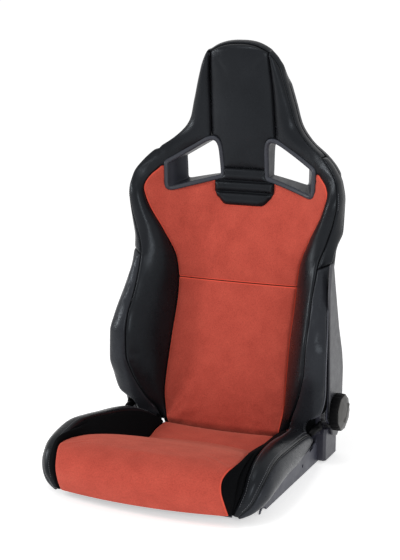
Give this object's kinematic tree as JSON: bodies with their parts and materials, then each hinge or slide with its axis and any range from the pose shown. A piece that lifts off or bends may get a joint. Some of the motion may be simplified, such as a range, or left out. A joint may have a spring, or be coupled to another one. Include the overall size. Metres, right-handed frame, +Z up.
{
  "type": "reclining sports seat",
  "caption": "Reclining bucket-style sports seat with deep bolsters, integrated head section, shoulder-belt openings and a side recline knob.",
  "frame": {"origin": "on the floor plane, under the middle of the seat's box", "axes": "+Z up; the seat faces -Y; +X is the side of the recline knob"},
  "size_m": [0.5731, 0.6631, 0.9575],
  "materials": {
    "suede": "soft brushed red suede cloth",
    "leather": "black grained leather with a satin sheen",
    "bolster_cloth": "matt black cloth",
    "bezel_plastic": "satin dark grey moulded plastic",
    "shell_plastic": "black textured moulded plastic",
    "foam": "open-cell moulded foam",
    "painted_steel": "dark blue-grey powder coat",
    "bare_steel": "satin steel",
    "cover_plastic": "fine-textured grey plastic",
    "bracket_plastic": "satin dark blue-grey plastic",
    "knob_black": "matt black plastic",
    "knob_grey": "satin grey plastic"
  },
  "bodies": {
    "seat_base": {"seat_insert": "suede", "left_seat_bolster_inner": "bolster_cloth", "right_seat_bolster_inner": "bolster_cloth", "left_seat_bolster": "leather", "right_seat_bolster": "leather", "left_seat_side": "leather", "right_seat_side": "leather", "seat_foam": "foam", "left_seat_bolster_foam": "foam", "right_seat_bolster_foam": "foam", "seat_pan": "painted_steel", "left_side_plate": "painted_steel", "right_side_plate": "painted_steel", "front_cross_tube": "painted_steel", "rear_cross_tube": "painted_steel", "left_recliner_bracket": "painted_steel", "right_recliner_bracket": "painted_steel", "left_recliner_disc": "bare_steel", "right_recliner_disc": "bare_steel", "left_stop_hook": "painted_steel", "right_stop_hook": "painted_steel", "left_bracket_cover": "bracket_plastic", "right_bracket_cover": "bracket_plastic"},
    "backrest": {"back_insert_lower": "suede", "back_insert_upper": "suede", "left_back_bolster": "leather", "right_back_bolster": "leather", "left_lumbar_side": "leather", "right_lumbar_side": "leather", "left_shoulder_side": "leather", "right_shoulder_side": "leather", "left_head_wing": "leather", "right_head_wing": "leather", "left_head_side": "leather", "right_head_side": "leather", "head_panel": "leather", "neck_pad": "leather", "left_belt_bezel": "bezel_plastic", "right_belt_bezel": "bezel_plastic", "back_shell": "shell_plastic", "back_foam": "foam", "head_foam": "foam", "left_back_bolster_foam": "foam", "right_back_bolster_foam": "foam", "left_frame_post": "painted_steel", "right_frame_post": "painted_steel", "frame_foot_tube": "painted_steel", "frame_cross_tube_lower": "painted_steel", "frame_cross_tube_upper": "painted_steel", "left_recliner_arm": "bare_steel", "right_recliner_arm": "bare_steel", "left_recliner_cover": "cover_plastic", "right_recliner_cover": "cover_plastic"},
    "recline_drive": {"cross_shaft": "bare_steel", "knob_rim": "knob_black", "knob_cap": "knob_grey"}
  },
  "joints": [
    {"name": "recline", "type": "hinge", "parent": "seat_base", "child": "backrest", "pos_m": [0, 0.195, 0.115], "axis": [1, 0, 0], "range_deg": [-45, 6]},
    {"name": "knob_turn", "type": "hinge", "parent": "seat_base", "child": "recline_drive", "pos_m": [0, 0.195, 0.115], "axis": [1, 0, 0], "range_deg": [-1360, 190]}
  ],
  "couplings": [
    {"joint": "knob_turn", "follows": "recline", "ratio": 30}
  ]
}
